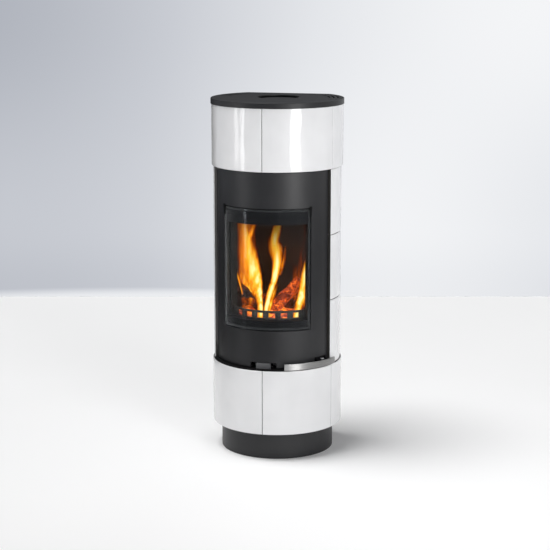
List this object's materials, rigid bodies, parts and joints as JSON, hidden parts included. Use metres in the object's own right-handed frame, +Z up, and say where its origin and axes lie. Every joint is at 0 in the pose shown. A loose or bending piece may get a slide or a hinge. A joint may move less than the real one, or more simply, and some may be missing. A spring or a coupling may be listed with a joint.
{
  "type": "tiled stove",
  "caption": "Column wood stove with curved full-height glass door between glazed tile rings, steel plinth and top plate, lever handle, ash pan, air slider and rear flue outlet.",
  "frame": {"origin": "on the floor, on the vertical axis of the tile rings", "axes": "+Z up; -Y is the front, where the door is; +X is to the right of someone facing the stove"},
  "size_m": [0.506, 0.4755, 1.358],
  "materials": {
    "white_glaze": "gloss",
    "anthracite_steel": "satin",
    "black_steel": "matte",
    "brushed_stainless": "satin",
    "turned_steel": "satin",
    "galvanised_sheet": "matte",
    "cast_iron": "matte",
    "firebrick": "matte",
    "fire_glass": "gloss",
    "rope_seal": "matte"
  },
  "bodies": {
    "stove": {"air_duct": "galvanised_sheet", "air_inlet_collar": "anthracite_steel", "back_brick": "firebrick", "blanking_plate": "black_steel", "firebox_shell": "black_steel", "firebox_top": "black_steel", "grate": "cast_iron", "hearth_brick": "firebrick", "hearth_plate": "black_steel", "hinge_pins": "turned_steel", "latch_keeper": "turned_steel", "left_brick": "firebrick", "left_side_tile_1": "white_glaze", "left_side_tile_2": "white_glaze", "left_side_tile_3": "white_glaze", "log_guard": "cast_iron", "lower_baffle": "firebrick", "lower_jacket": "galvanised_sheet", "lower_ring_tile_1": "white_glaze", "lower_ring_tile_2": "white_glaze", "lower_ring_tile_3": "white_glaze", "lower_ring_tile_4": "white_glaze", "lower_shelf": "anthracite_steel", "middle_shelf": "anthracite_steel", "pan_runners": "black_steel", "panel_screws": "turned_steel", "plinth": "anthracite_steel", "rear_flue_collar": "anthracite_steel", "rear_heat_shield": "galvanised_sheet", "rear_panel": "anthracite_steel", "right_brick": "firebrick", "right_side_tile_1": "white_glaze", "right_side_tile_2": "white_glaze", "right_side_tile_3": "white_glaze", "side_jackets": "galvanised_sheet", "slider_guides": "black_steel", "support_cheeks": "galvanised_sheet", "top_plate": "anthracite_steel", "upper_baffle": "firebrick", "upper_jacket": "galvanised_sheet", "upper_ring_tile_1": "white_glaze", "upper_ring_tile_2": "white_glaze", "upper_ring_tile_3": "white_glaze", "upper_ring_tile_4": "white_glaze", "upper_shelf": "anthracite_steel"},
    "door": {"door_panel": "anthracite_steel", "door_frame": "black_steel", "door_seal": "rope_seal", "glass_pane": "fire_glass", "glass_gasket": "rope_seal", "glass_clips": "anthracite_steel", "hinge_bushes": "turned_steel", "handle_bracket": "black_steel", "handle_pivot_pin": "turned_steel"},
    "handle": {"handle_bar": "brushed_stainless", "handle_lever": "brushed_stainless"},
    "ash_pan": {"ash_pan": "black_steel"},
    "air_slider": {"air_slider": "brushed_stainless"},
    "flue_cover": {"flue_cover": "anthracite_steel"}
  },
  "joints": [
    {"name": "door_hinge", "type": "hinge", "parent": "stove", "child": "door", "pos_m": [-0.20328, -0.08923, 0.73], "axis": [0, 0, -1], "range_deg": [0, 95]},
    {"name": "handle_pivot", "type": "hinge", "parent": "door", "child": "handle", "pos_m": [0.20334, -0.11978, 0.369], "axis": [0, 0, 1], "range_deg": [0, 7]},
    {"name": "ash_pan_slide", "type": "slide", "parent": "stove", "child": "ash_pan", "axis": [0, -1, 0], "range_m": [0, 0.142]},
    {"name": "air_slider_swivel", "type": "hinge", "parent": "stove", "child": "air_slider", "pos_m": [0, 0, 0.36], "axis": [0, 0, 1], "range_deg": [-4, 4]},
    {"name": "flue_cover_lift", "type": "slide", "parent": "stove", "child": "flue_cover", "axis": [0, 0, 1], "range_m": [0, 0.06]}
  ],
  "couplings": [
    {"joint": "ash_pan_slide", "follows": "door_hinge", "m_per_rad": 0.085}
  ]
}
